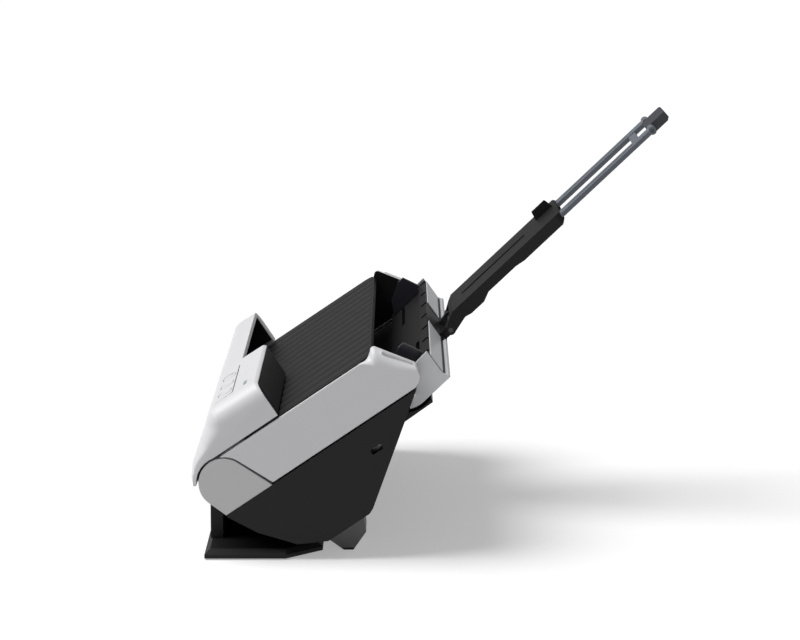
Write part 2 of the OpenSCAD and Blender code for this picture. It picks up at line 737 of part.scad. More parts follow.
// Rounded ends of the panel; each is three shells that meet in fine lines at the hinge cap
module panel_ends() {
  color("#f0f0f2") on_path() both_sides() difference() {
    union() {
      across(end_start, end_at(0)) polygon(open_pts);
      for (a = [0:18:72]) hull() {
        panel_slice(a);
        panel_slice(a + 18);
      }
    }
    panel_room();
    for (a = end_angles) rotate([a, 0, 0])
      block(end_x - over, half_w + over, 0, 4 * gap_r, -end_split / 2, end_split / 2);
  }
}
module front_panel() {
  color("#f0f0f2") on_path() difference() {
    across(-end_x, end_x) polygon(open_pts);
    panel_room();
    difference() {
      across(-cheek_x, cheek_x) polygon(inset(open_pts, wall));
      block(block_x, block_x + wall, lip_u - wall, 3 * block_u, -over, 2 * panel_v);
    }
    rod(gap_r + 2 * seat, -cheek_x, cheek_x, 0, 0);
    for (x = key_places) translate([x, key_u, 0]) linear_extrude(2 * panel_v) key_shape(play);
    block(lens_x - lens_w / 2 - seat / 2, lens_x + lens_w / 2 + seat / 2,
      lens_u - seat / 2, lens_u + lens_l + seat / 2, 0, 2 * panel_v);
    block(line_x, line_end, lip_u - split_gap, lip_u - split_gap + line_w, panel_v - line_w, 2 * panel_v);
    translate([line_end - line_w, lip_u - split_gap + line_w / 2, panel_v - line_w])
      rotate([0, 0, -line_turn]) cube([line_l, line_w, panel_v]);
    translate([tick_x, key_u - key_l * 0.6, panel_v - tick_d]) rotate([0, 0, line_turn])
      cube([tick_l, tick_w, panel_v]);
  }
}
back_t = 2;
back_set = 3;
back_drop = 3.6;
back_u = block_u - back_set;
back_split = key_places[1] - key_w / 2;
back_h = 15;
back_low = panel_v - back_h;
module panel_back() {
  color("#1d1d1f") on_path() {
    block(back_split, cheek_x - seat, back_u, back_u + back_t, back_low, panel_v - back_drop);
    block(block_x + wall + seat, back_split, back_u, back_u + back_t, back_low, panel_v - back_drop);
    block(back_split, cheek_x - seat, back_u, back_u + back_t, floor_v + seat, back_low);
  }
}
pinch2_r = 3.5;
pinch2_v = 18;
pinch2_shaft = 1.5;
plate_t = 1.5;
chute_in = 5;
chute_x = cheek_x - seat;
chute_v = back_low + 2 * seat;
nose_shares = [[-0.2, 0.96], [0.133, 0.947], [0.133, 1.133], [0.533, 1.493], [0.533, 1.6], [-0.267, 1.093]];
ramp_shares = [[0.507, 1.493], [0.6, 1.507], [1.6, 2.147], [1.6, 2.253], [0.507, 1.6]];
hanger_shares = [[-0.333, 0], [0.2, 0], [0.2, 1], [1.333, 1], [1.333, 1.52], [0.533, 1.56], [-0.2, 1.107],
                 [-0.333, 0.867]];
blank_shares = [[0.533, 1.147], [1.987, 1.147], [1.987, 2.24], [1.333, 2.253], [0.533, 1.707]];
function chute(shares) = [for (s = shares) gap_r * s];
module output_guide() {
  color("#2c2c2f") on_path() difference() {
    union() {
      difference() {
        rod(gap_r + play, -panel_ear_x, panel_ear_x, 0, 0);
        rod(gap_r - 3 * play, -half_w, half_w, 0, 0);
        across(-half_w, half_w) polygon([[0, 0], 3 * gap_r * [cos(78), sin(78)], [3 * gap_r, gap_r],
          [3 * gap_r, -3 * gap_r], 3 * gap_r * [cos(232), sin(232)]]);
      }
      across(-panel_ear_x, panel_ear_x) polygon(chute(nose_shares));
      across(-chute_x, block_x - seat) polygon(chute(ramp_shares));
      block(block_x + wall + seat, panel_ear_x, ramp_shares[0].x * gap_r, back_u - seat / 2,
        chute_v, chute_v + plate_t);
      block(chute_in - panel_ear_x, block_x + wall + plate_t, ramp_shares[0].x * gap_r,
        ramp_shares[1].x * gap_r + plate_t / 2, chute_v, chute_v + plate_t);
      both_sides() {
        rod(2 * pin_r, panel_ear_x - panel_ear_t, panel_ear_x, 0, 0);
        across(panel_ear_x - panel_ear_t, panel_ear_x) polygon(chute(hanger_shares));
      }
      across(-chute_x, plate_t - chute_x) polygon(chute(blank_shares));
    }
    rod(pin_r + run, -half_w, half_w, 0, 0);
    rod(pinch2_shaft + run, 2 * panel_ear_t - panel_ear_x, panel_ear_x + over, exit_u, pinch2_v);
    rod(pinch2_shaft + run, -panel_ear_x - over, panel_ear_x - 2 * panel_ear_t, exit_u, pinch2_v);
  }
}
key_flange = 1;
key_stem = 1.5;
key_skirt = 1.6;
board_v = 28.8;
key_board_l = 22;
key_board_r = 18;
post_r = 2;
module panel_board() {
  color("#2f6b4f") on_path() {
    block(key_places[0] - key_board_l, key_places[2] + key_board_r, key_u - key_l, back_u - back_t,
      board_v, board_v + board_t);
    for (x = [key_places[0] - key_board_l + 3 * post_r, key_places[1],
              key_places[2] + key_board_r - 3 * post_r])
      translate([x, key_u + key_l * 1.5, chute_v + plate_t])
        cylinder(r = post_r, h = board_v - chute_v - plate_t + board_t / 2);
  }
}
module status_lens() {
  color("#dfe6ea") on_path() {
    block(lens_x - lens_w / 2, lens_x + lens_w / 2, lens_u, lens_u + lens_l, board_v + board_t, lens_v);
  }
}
module exit_pinch_rollers() {
  color("#6a6b70") on_path() {
    rod(pinch2_shaft, -panel_ear_x, panel_ear_x, exit_u, pinch2_v);
    for (s = feed_sleeves) rod(pinch2_r, s[0], s[1], exit_u, pinch2_v);
  }
}
module key(i) {
  skin = panel_v - wall;
  stem_low = board_v + board_t + key_travel + play;
  color("#e4e4e7") on_path() translate([key_places[i], key_u, 0]) {
    translate([0, 0, skin - key_skirt]) linear_extrude(key_v - skin + key_skirt) key_shape(0);
    translate([0, 0, skin - key_skirt]) linear_extrude(key_flange) key_shape(key_flange);
    translate([0, 0, stem_low]) cylinder(r = key_stem, h = skin - key_flange - stem_low);
  }
}
module power_key() {
  key(0);
}
module stop_key() {
  key(1);
}
module scan_key() {
  key(2);
}

// Input tray
skin_t = 1.8;
wrap_angle = 240;
bracket_side = 1;
bracket_x = arm_w / 2 + bracket_side;
lip_in = 1.7;
lip_low = 11.5;
flange_n = 3.3;
flange_pts = [[skin_n * 0.75, flange_n - 2 * seat], [-hub_r, 0],
  [skin_n * cos(wrap_angle), skin_n * sin(wrap_angle)], [0, -skin_n], [lip_t, -skin_n],
  [lip_t - lip_in, -lip_low], [lip_t + seat, flange_n]];
pinion_t = 5.5;
pinion_r = 3.8;
pinion_axle = 1.5;
rack_n = 12;
rack_h = 2.5;
bracket_t = 8;
module tray_lid() {
  color("#b3b5bd") on_tray() {
    difference() {
      union() {
        block(-tray_x, tray_x, 0, lip_t, -skin_n, skin_t - skin_n);
        difference() {
          rod(skin_n, -tray_x, tray_x, 0, 0);
          rod(skin_n - skin_t, -half_w, half_w, 0, 0);
          across(-half_w, half_w) polygon([[0, 0], 3 * skin_n * [cos(wrap_angle), sin(wrap_angle)],
            [-3 * skin_n, 3 * skin_n], [3 * skin_n, 3 * skin_n], [3 * skin_n, -3 * skin_n],
            [0, -3 * skin_n]]);
        }
        both_sides() {
          across(tray_x - flange_t, tray_x) polygon([for (i = [6:-1:0]) flange_pts[6 - i]]);
          rod(hub_r, tray_x - flange_t, tray_x, 0, 0);
        }
        translate([0, pinion_t, -skin_n]) cylinder(r = pinion_axle, h = skin_n - rack_n + rack_h);
      }
      block(-arm_x - bracket_x, bracket_x - arm_x, bracket_t, lip_t + over,
        -skin_n - over, skin_t - skin_n + over);
      both_sides() rod(tray_pin_r + run, tray_x - flange_t - over, tray_x + over, 0, 0);
    }
  }
}
insert_end = tray_x - flange_t - play;
ledge_n = 2;
ledge_t = 15;
insert_r = 9.5;
insert_turn = 227;
insert_low = 7;
bracket_in = 13;
bracket_up = 3;
notch_pitch = 41;
notch_w = 6;
notch_l = 1.4;
notch_d = 1.1;
rack_off = 5.5;
rack_w = 2;
slot_in = 62;
slot_extra = 5;
slot_end = 3;
// Slot of one edge guide's foot in the paper surface
module guide_slot() {
  block(guide_x - slot_in - slot_extra, guide_x + slot_end,
    rack_off - rack_w / 2 - play, rack_off + rack_w / 2 + play, -skin_n, over);
}
module tray_insert() {
  color("#1e1e20") on_tray() difference() {
    across(-insert_end, insert_end) polygon(concat([[seat - insert_r, 0]],
      arc(insert_r, 180, insert_turn, 6),
      [[ledge_t, -insert_low], [ledge_t, skin_t + seat / 2 - skin_n],
       [lip_t - lip_in - seat / 2, skin_t + seat / 2 - skin_n], [lip_t - lip_in - seat / 2, -lip_low],
       [lip_t + seat, ledge_n], [ledge_t, ledge_n], [ledge_t, 0]]));
    block(-arm_x - bracket_x - seat, bracket_x - arm_x + seat, bracket_in - play, lip_t + over,
      -skin_n, seat - bracket_up);
    for (i = [-3:3]) block(i * notch_pitch - notch_w / 2, i * notch_pitch + notch_w / 2,
      ledge_t + notch_l, 2 * lip_t, ledge_n - notch_d, 2 * ledge_n);
    translate([0, pinion_t, 0]) guide_slot();
    translate([0, pinion_t, 0]) rotate([0, 0, 180]) guide_slot();
  }
}
knuckle_r = 3;
arm_gap = 5.7;
arm_axis_t = lip_t + arm_gap;
arm_axis_n = skin_n - knuckle_r;
lug_in = 1.3;
lug_w = 7;
lug_out = 8;
module bracket_lug() {
  polygon([[lip_t - lug_in, -skin_n], [arm_axis_t, -skin_n], [arm_axis_t, knuckle_r - arm_axis_n],
           [lip_t + seat, seat - lip_low], [lip_t - lug_in, seat - lip_low]]);
  translate([arm_axis_t, -arm_axis_n]) circle(r = knuckle_r);
}
arm_pin_r = 1.4;
module arm_bracket() {
  color("#1b1b1d") on_tray() difference() {
    translate([-arm_x, 0, 0]) union() {
      across(seat - bracket_x, bracket_x - seat)
        polygon([[bracket_t + seat, -skin_n], [lip_t, -skin_n], [lip_t - lip_in, -lip_low],
                 [lip_t - 2 * play, -bracket_up], [bracket_in, -bracket_up], [bracket_in, skin_t - skin_n],
                 [bracket_t + seat, skin_t - skin_n]]);
      both_sides() across(arm_w / 2 - lug_out - lug_w, arm_w / 2 - lug_out) bracket_lug();
    }
    rod(arm_pin_r + run, -half_w, half_w, arm_axis_t, -arm_axis_n);
  }
}
blade_t = 3;
blade_low = 7.5;
blade_nose = 1;
blade_top = 4;
blade_in = 2.2;
blade_over = 1.9;
rack_end = 8;
blade_pts = [[-blade_low, blade_nose], [blade_nose / 2 - blade_low, play], [ledge_t - 2 * seat, play],
  [ledge_t - play, ledge_n + 2 * seat], [ledge_t + blade_over, ledge_n + 3 * play],
  [ledge_t - blade_in, guide_h], [ledge_t - blade_in - blade_top, guide_h],
  [-blade_low * 0.4, guide_h * 0.54]];
// One edge guide; its foot runs beside the pinion on the side that dir gives
module edge_guide(dir) {
  foot_t = pinion_t + dir * rack_off;
  across(guide_x - blade_t / 2, guide_x + blade_t / 2) polygon(blade_pts);
  block(guide_x - blade_t / 2, guide_x + blade_t / 2, foot_t - rack_w / 2, foot_t + rack_w / 2,
    -rack_n, blade_nose);
  block(-rack_end, guide_x + blade_t / 2, foot_t - rack_w / 2, foot_t + rack_w / 2,
    -rack_n, rack_h - rack_n);
}
module edge_guide_right() {
  color("#4a4a52") on_tray() edge_guide(1);
}
module edge_guide_left() {
  color("#4a4a52") on_tray() mirror([1, 0, 0]) edge_guide(-1);
}
tooth_w = 1;
module guide_pinion() {
  color("#d8d8da") on_tray() translate([0, pinion_t, -rack_n]) difference() {
    union() {
      cylinder(r = pinion_r - tooth_w / 2, h = rack_h);
      for (i = [0:5]) rotate([0, 0, 30 * i]) translate([-pinion_r, -tooth_w / 2, 0])
        cube([2 * pinion_r, tooth_w, rack_h]);
    }
    translate([0, 0, -over]) cylinder(r = pinion_axle + run, h = rack_h + 2 * over);
  }
}

// Paper support
arm_low = 1.5;
rail_up = 3.1;
rail_mid = arm_low + rail_up;
rail_back = 14;
stop_y = arm_l + rail_out;
rail_pitch = arm_w - rail_w - 2 * rail_side;
arm_round = 3.5;
// Side view of the arm from its hinge end, as shares of its length and of its thickness
arm_shares = [[0.043, -0.417], [0.128, -0.25], [0.17, -0.417], [0.277, -0.417], [0.34, 0], [0.574, 0],
              [0.638, -0.167], [0.968, -0.167], [1, 0.167], [1, 0.8], [0.987, 1], [0.088, 1], [0.043, 0.65]];
arm_pts = [for (s = arm_shares) [s.x * arm_l, arm_low + s.y * arm_t]];
ear_in = 1;
ear_w = 6.7;
horn_x = 12;
horn_w = 3;
horn_l = 16;
horn_h = 5.7;
horn_run = 1.5;
groove_w = 6;
groove_d = 0.8;
slit_w = 3;
slit_in = 22;
slit_d = 0.6;
module arm() {
  color("#252527") on_arm() difference() {
    union() {
      intersection() {
        across(-arm_w / 2, arm_w / 2) polygon(arm_pts);
        translate([0, arm_l / 2, -arm_t]) linear_extrude(3 * arm_t)
          polygon(rounded(arm_w, arm_l, arm_round));
      }
      both_sides() across(arm_w / 2 - ear_in - ear_w, arm_w / 2 - ear_in) {
        polygon([[0, -knuckle_r], arm_pts[1], [arm_pts[1].x, arm_low + arm_t * 0.75], arm_pts[12],
                 [0, knuckle_r]]);
        circle(r = knuckle_r);
      }
      across(-horn_x - horn_w / 2, horn_w / 2 - horn_x)
        polygon([[arm_l - horn_run - horn_l, arm_low], [arm_l - horn_run, arm_low],
                 [arm_l - horn_run - horn_l * 0.15, arm_low + arm_t + horn_h],
                 [arm_l - horn_run - horn_l * 0.8, arm_low + arm_t + horn_h]]);
    }
    rod(arm_pin_r + run, -arm_w, arm_w, 0, 0);
    both_sides() block(rail_pitch / 2 - rail_w / 2 - play, rail_pitch / 2 + rail_w / 2 + play,
      arm_l - rail_out - rail_back + 2 * play, arm_l + over,
      rail_mid - rail_t / 2 - play, rail_mid + rail_t / 2 + play);
    block(-rail_pitch / 2, rail_pitch / 2, arm_l - rail_back, arm_l + over,
      rail_mid - rail_t / 2 - play, rail_mid + rail_t / 2 + play);
    translate([0, arm_l * 0.45, arm_low + arm_t - groove_d]) linear_extrude(arm_t)
      polygon(rounded(groove_w, arm_l * 0.55, groove_w * 0.48));
    both_sides() translate([arm_w / 2 - slit_in, arm_l * 0.45, arm_low - arm_t])
      linear_extrude(arm_t + slit_d)
      polygon(rounded(slit_w, arm_l * 0.3, slit_w * 0.47));
  }
}
module arm_pin() {
  color("#8f9297") on_arm() rod(arm_pin_r, ear_in - arm_w / 2, arm_w / 2 - ear_in, 0, 0);
}
stop_pin_r = 1;
stop_hub = 2.4;
stop_reach = 6;
rail_groove_w = 2;
rail_groove_d = 0.6;
rail_lead = 6;
tie_set = 14;
tie_l = 5;
module rail() {
  x = rail_pitch / 2;
  difference() {
    union() {
      block(x - rail_w / 2, x + rail_w / 2, arm_l - rail_back, stop_y,
        rail_mid - rail_t / 2, rail_mid + rail_t / 2);
      rod(stop_hub, x - rail_w / 2, x + rail_w / 2, stop_y, rail_mid);
    }
    rod(stop_pin_r + run, x - rail_w, x + rail_w, stop_y, rail_mid);
    block(x - rail_groove_w / 2, x + rail_groove_w / 2, arm_l + rail_lead, stop_y - tie_set,
      rail_mid + rail_t / 2 - rail_groove_d, rail_mid + rail_t);
  }
}
module rail_right() {
  color("#8f939b") on_arm() rail();
}
module rail_left() {
  color("#8f939b") on_arm() mirror([1, 0, 0]) rail();
}
module rail_tie() {
  x = rail_pitch / 2 - rail_w / 2 - seat / 2;
  color("#8f939b") on_arm() block(-x, x, stop_y - tie_set, stop_y - tie_set + tie_l,
    rail_mid - rail_t / 2 + 2 * seat, rail_mid + rail_t / 2 - 2 * seat);
}
// Side view of the stop between the rails, as shares of its length and of the rail's thickness
stop_shares = [[-0.177, -0.77], [0.05, -1.4], [0.85, -1.4], [1, -0.86], [1, 0.5], [0.93, 0.77],
               [-0.177, 0.77]];
stop_half = rail_pitch / 2 - rail_w / 2 - play;
module end_stop() {
  color("#33363c") on_arm() difference() {
    across(-stop_half, stop_half)
      polygon([for (s = stop_shares) [stop_y + s.x * stop_l, rail_mid + s.y * rail_t]]);
    rod(stop_pin_r + run, -arm_w, arm_w, stop_y, rail_mid);
  }
}
module stop_pins() {
  color("#8f9297") on_arm() both_sides()
    rod(stop_pin_r, stop_half - stop_reach, rail_pitch / 2 + rail_w / 2 - play, stop_y, rail_mid);
}

stand_base();
stand_wall();
stand_saddle();
stand_weight();
rubber_pads();
stand_screws();
lower_housing();
rear_feet();
hinge_cap_right();
hinge_cap_left();
hinge_pins();
lower_guide();
chassis_sides();
lower_sensor();
lower_sensor_glass();
main_board();
motor();
dc_inlet();
usb_port();
tray_rest();
tray_pins();
drive_belt();
housing_screws();
pickup_roller();
feed_roller();
turn_roller();
motor_pulley();
side_cover_right();
side_cover_left();
rim_inserts();
ribbed_cover();
upper_frame();
upper_sensor();
upper_sensor_glass();
separation_roller();
feed_pinch_roller();
exit_roller();
front_panel();
panel_ends();
panel_back();
output_guide();
panel_board();
status_lens();
exit_pinch_rollers();
power_key();
stop_key();
scan_key();
tray_lid();
tray_insert();
arm_bracket();
edge_guide_right();
edge_guide_left();
guide_pinion();
arm();
arm_pin();
rail_right();
rail_left();
rail_tie();
end_stop();
stop_pins();
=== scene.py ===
# A compact sheet-fed document scanner: white hinged cover and control panel,
# black body on a tilted stand, open input tray with a paper support arm.
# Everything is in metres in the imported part's own frame.
import bpy
import bmesh
from math import copysign, radians, sin, cos, tan, atan2, pi
from mathutils import Vector, Matrix


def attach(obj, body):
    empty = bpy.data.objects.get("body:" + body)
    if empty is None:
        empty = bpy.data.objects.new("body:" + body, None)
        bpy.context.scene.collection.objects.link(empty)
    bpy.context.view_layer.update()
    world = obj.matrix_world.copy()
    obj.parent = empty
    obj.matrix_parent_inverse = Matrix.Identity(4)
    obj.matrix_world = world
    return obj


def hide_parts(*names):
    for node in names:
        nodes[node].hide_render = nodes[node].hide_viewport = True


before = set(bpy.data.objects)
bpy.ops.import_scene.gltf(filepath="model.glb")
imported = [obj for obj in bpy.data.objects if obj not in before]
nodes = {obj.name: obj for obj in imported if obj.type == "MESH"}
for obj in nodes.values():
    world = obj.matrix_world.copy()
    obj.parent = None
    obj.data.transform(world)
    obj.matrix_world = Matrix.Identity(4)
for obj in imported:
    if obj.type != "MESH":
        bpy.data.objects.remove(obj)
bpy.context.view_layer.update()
world_scene = bpy.context.scene

# Camera
# A long lens square to the scanner's right-hand side and a little above it, as
# the photograph was taken; it looks down by 9.5 degrees.
hinge_y, hinge_z = -0.11825, 0.0433
hinge_to_lens = 0.09704
lens = bpy.data.cameras.new("side_view_lens")
lens.lens = 139.83
lens.sensor_width = 36.0
lens.clip_start = 0.05
lens.clip_end = 30.0
side_view = bpy.data.objects.new("side_view", lens)
side_view.location = (1.8192, hinge_y + hinge_to_lens, 0.41385)
side_view.rotation_euler = (radians(80.5), 0.0, radians(90.0))
world_scene.collection.objects.link(side_view)
world_scene.camera = side_view


# Table top
# A plain pale sheet that runs back behind the scanner, white to the camera
# and to what mirrors it, and it keeps the scanner's soft shadow.
class Term:
    """One shader socket, so that sums of sockets read as sums."""
    def __init__(self, finish, socket):
        self.finish = finish
        self.socket = socket

    def with_other(self, operation, first, second):
        return self.finish.add("ShaderNodeMath", {"operation": operation}, {0: first, 1: second})

    def __add__(self, other): return self.with_other("ADD", self, other)
    def __radd__(self, other): return self.with_other("ADD", other, self)
    def __mul__(self, other): return self.with_other("MULTIPLY", self, other)
    def __rmul__(self, other): return self.with_other("MULTIPLY", other, self)


class Finish:
    """A material, or the world around the scanner, under construction."""
    def __init__(self, name, world=None):
        self.made = world or bpy.data.materials.new(name)
        self.made.use_nodes = True
        self.tree = self.made.node_tree
        self.tree.nodes.clear()
        self.out = self.tree.nodes.new("ShaderNodeOutputWorld" if world else "ShaderNodeOutputMaterial")

    def add(self, kind, settings=None, sockets=None, output=0):
        """A node of that kind, with its settings and its sockets' values or links."""
        node = self.tree.nodes.new(kind)
        for key, value in (settings or {}).items():
            setattr(node, key, value)
        for key, value in (sockets or {}).items():
            socket = node.inputs[key]
            if isinstance(value, Term):
                self.tree.links.new(value.socket, socket)
            else:
                socket.default_value = value
        return Term(self, node.outputs[output])

    def place(self, scale=(1.0, 1.0, 1.0)):
        here = self.add("ShaderNodeTexCoord", output="Object")
        return self.add("ShaderNodeMapping", {}, {"Vector": here, "Scale": scale})

    def noise(self, size, detail=2.0, rough=0.5, where=None):
        return self.add("ShaderNodeTexNoise", {}, {
            "Vector": where or self.place(), "Scale": 1.0 / size, "Detail": detail, "Roughness": rough})

    def mix(self, amount, first, second):
        return self.add("ShaderNodeMix", {"data_type": "RGBA"}, {0: amount, 6: first, 7: second}, output=2)

    def end(self, shader):
        self.tree.links.new(shader.socket, self.out.inputs["Surface"])
        return self.made


def as_mesh(name, form):
    """The bmesh as a mesh; the bmesh itself is freed."""
    mesh = bpy.data.meshes.new(name)
    form.to_mesh(mesh)
    form.free()
    return mesh


white = (1.0, 1.0, 1.0, 1.0)
lit_paper = (0.64, 0.64, 0.64, 1.0)
shown_paper = (0.94, 0.94, 0.94, 1.0)
backlit_share = 0.16
table_half = 6.0
table = Finish("pale_table")
shown = (table.add("ShaderNodeLightPath", output="Is Camera Ray")
         + table.add("ShaderNodeLightPath", output="Is Glossy Ray")
         + table.add("ShaderNodeLightPath", output="Is Transmission Ray"))
paper = table.add("ShaderNodeBsdfPrincipled", {}, {
    "Base Color": table.mix(shown, lit_paper, shown_paper), "Roughness": 0.7})
backlight = table.add("ShaderNodeEmission", {}, {"Color": white, "Strength": 2.2})
pale_table = table.end(table.add("ShaderNodeMixShader", {}, {0: shown * backlit_share, 1: paper, 2: backlight}))
sheet = bmesh.new()
bmesh.ops.create_grid(sheet, x_segments=1, y_segments=1, size=table_half)
table_top = bpy.data.objects.new("table_top", as_mesh("table_top", sheet))
table_top.data.materials.append(pale_table)
world_scene.collection.objects.link(table_top)

# Studio light
# One very large soft light high in front, so that the shadow falls back and
# fades out, and an even pale room that keeps the ends a good deal darker.
light_way = Vector((0.0, 0.62, -1.0))
room_strength = 0.2
key_light = bpy.data.lights.new("key_light", "SUN")
key_light.energy = 2.7
key_light.angle = radians(42.0)
key_holder = bpy.data.objects.new("key_light", key_light)
key_holder.rotation_euler = light_way.to_track_quat("-Z", "Y").to_euler()
world_scene.collection.objects.link(key_holder)
room = Finish("pale_room", bpy.data.worlds.new("pale_room"))
world_scene.world = room.end(room.add("ShaderNodeMixShader", {}, {
    0: room.add("ShaderNodeLightPath", output="Is Camera Ray"),
    1: room.add("ShaderNodeBackground", {}, {"Color": white, "Strength": room_strength}),
    2: room.add("ShaderNodeBackground", {}, {"Color": white, "Strength": 1.0})}))
world_scene.view_settings.view_transform = "Standard"


# Control keys and guide pinion
# Small white ABS mouldings: three keys that sit sprung in the panel's wells,
# and the pinion under the tray that couples the two edge guides.
def moulded(name, colour, rough, depth=0.00002, edge=0.0004, gloss=0.45):
    """Eroded moulded plastic, faintly uneven, with slightly round edges that catch the light."""
    grain_size, patch_size, darker, unevenness = 0.00035, 0.06, 0.9, 0.3
    finish = Finish(name)
    fine = finish.noise(grain_size, 3.0, 0.6)
    broad = finish.noise(patch_size)
    dark = tuple(c * darker for c in colour)
    shade = finish.mix(broad * unevenness, colour + (1.0,), dark + (1.0,))
    corner = finish.add("ShaderNodeBevel", {"samples": 4}, {"Radius": edge})
    relief = finish.add("ShaderNodeBump", {}, {
        "Strength": 0.35, "Distance": depth, "Height": fine, "Normal": corner})
    return finish.end(finish.add("ShaderNodeBsdfPrincipled", {}, {
        "Base Color": shade, "Roughness": rough - 0.06 + 0.12 * fine, "Normal": relief,
        "Specular IOR Level": gloss}))


def wear(material, *names):
    """Gives a material to every slot of the named CAD nodes."""
    for name in names:
        mesh = nodes[name].data
        if not mesh.materials:
            mesh.materials.append(material)
        for index in range(len(mesh.materials)):
            mesh.materials[index] = material


white_abs = moulded("white_abs", (0.86, 0.86, 0.88), 0.42, edge=0.0006)
wear(white_abs, "power_key", "stop_key", "scan_key", "guide_pinion")

# Side covers
# White ABS mouldings over the two ends of the hinged cover, with the inner wall
# painted black as painted shade. Each clears the hinge cap by a fine gap in front
# and rises to a round rim behind.
trim_abs = moulded("trim_abs", (0.012, 0.012, 0.013), 0.5, gloss=0.25)

# The casing is drawn in millimetres about the cover hinge: x across, u up the
# paper path and v square to it
path_tilt = radians(34.0)
on_path = (Matrix.Translation((0.0, hinge_y, hinge_z)) @ Matrix.Rotation(path_tilt, 4, "X")
           @ Matrix.Scale(0.001, 4))
half_w = 149.0
cheek_x = 138.0
cover_floor, cover_top = -14.7, 13.5


def ramp(value, start, run):
    """0 up to start, 1 from start + run, and even in between."""
    return min(max((value - start) / run, 0.0), 1.0)


def arc(radius, angles):
    """Points on a circle about the hinge."""
    return [Vector((radius * cos(radians(a)), radius * sin(radians(a)))) for a in angles]


def filleted(points, steps=7):
    """Outline of (u, v, radius) points with each corner rounded by its radius."""
    most = 0.48
    rounded = []
    for i, (u, v, radius) in enumerate(points):
        here = Vector((u, v))
        if radius == 0:
            rounded.append(here)
            continue
        back = Vector(points[i - 1][:2]) - here
        ahead = Vector(points[(i + 1) % len(points)][:2]) - here
        half = back.angle(ahead) / 2
        run = min(radius / tan(half), most * back.length, most * ahead.length)
        core = here + (back.normalized() + ahead.normalized()).normalized() * (run / cos(half))
        reach = run * tan(half)
        start = here + back.normalized() * run - core
        stop = here + ahead.normalized() * run - core
        first = atan2(start.y, start.x)
        swing = (atan2(stop.y, stop.x) - first + pi) % (2 * pi) - pi
        for k in range(steps + 1):
            angle = first + swing * k / steps
            rounded.append(core + Vector((cos(angle), sin(angle))) * reach)
    return rounded


def lofted(rings):
    """A closed bmesh through rings of (x, u, v) points, all of one count."""
    form = bmesh.new()
    loops = []
    for ring in rings:
        dots = [form.verts.new(point) for point in ring]
        loops.append([form.edges.new((dots[k - 1], dots[k])) for k in range(len(dots))])
        if len(loops) in (1, len(rings)):
            form.faces.new(dots)
    for first, second in zip(loops, loops[1:]):
        bmesh.ops.bridge_loops(form, edges=first + second)
    bmesh.ops.recalc_face_normals(form, faces=form.faces)
    return form


def rounded_end(outline, flat_to, drawn_in):
    """Rings from the flat part out to half_w, where each point has moved in by drawn_in."""
    steps = 9
    rings = []
    for turn in (radians(90.0 / steps * k) for k in range(steps + 1)):
        x = flat_to + (half_w - flat_to) * sin(turn)
        share = 1.0 - cos(turn)
        rings.append([(x, q.x + share * drawn_in(q).x, q.y + share * drawn_in(q).y) for q in outline])
    return rings


def fitted(name, shape, material, body, *stands_for, place=on_path):
    """Puts a finished shape in its place on its body, in its material."""
    mesh = shape if isinstance(shape, bpy.types.Mesh) else as_mesh(name, shape)
    mesh.name = name
    mesh.transform(place)
    mesh.materials.clear()
    mesh.materials.append(material)
    mesh.shade_smooth()
    mesh.set_sharp_from_angle(angle=radians(32.0))
    piece = bpy.data.objects.new(name, mesh)
    world_scene.collection.objects.link(piece)
    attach(piece, body)
    if stands_for:
        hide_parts(*stands_for)
    return piece


def shade_lined(piece, is_inner):
    """Paints the faces that the test picks with the black trim material, as painted shade."""
    back = on_path.inverted()
    turn = back.to_3x3()
    piece.data.materials.append(trim_abs)
    for face in piece.data.polygons:
        if is_inner(back @ face.center, (turn @ face.normal).normalized()):
            face.material_index = 1


def rim_draw(q):
    """The outer edge draws down 10 mm at the rim, and hardly along the ribbed cover."""
    rise_u, rise_run = 99.0, 12.0
    low_v, draw_run = -12.0, 24.0
    rim_in, rib_drop, rim_drop = 2.5, 0.5, 9.7
    share = ramp(q.x, rise_u, rise_run)
    share = share * share * (3.0 - 2.0 * share)
    top = ramp(q.y, low_v, draw_run)
    return Vector((-rim_in * share * top, -(rib_drop + rim_drop * share) * top))


def shaded_cheek(centre, normal):
    """Only the flat inner wall takes the painted shade in black."""
    return abs(centre.x) < cheek_x + 0.2


floor_points = [(22.9, cover_floor, 0.6), (70.0, cover_floor, 0.0), (117.4, cover_floor, 1.0)]
rear_points = [(121.0, -13.2, 2.0), (123.3, -10.0, 3.0), (124.4, -4.6, 3.0), (116.0, 7.5, 0.0)]
rim_points = [(109.4, 17.2, 2.4), (105.8, cover_top, 3.0)]
top_points = [(u, cover_top, 0.0) for u in (102.0, 100.5, 99.0, 96.0, 70.0, 40.0, 6.5)]
cap_gap_arc = arc(15.02, (52, 45, 38, 31, 24))
side_outline = filleted(floor_points + rear_points + rim_points + top_points) + cap_gap_arc
side_rings = [[(cheek_x, q.x, q.y) for q in side_outline]] + rounded_end(side_outline, 141.0, rim_draw)
for sign, side in ((1, "right"), (-1, "left")):
    form = lofted([[(sign * x, u, v) for x, u, v in ring] for ring in side_rings])
    cover = fitted("smooth_side_cover_" + side, form, white_abs, "upper_unit", "side_cover_" + side)
    # The cover's inner wall is painted black as painted shade.
    shade_lined(cover, shaded_cheek)
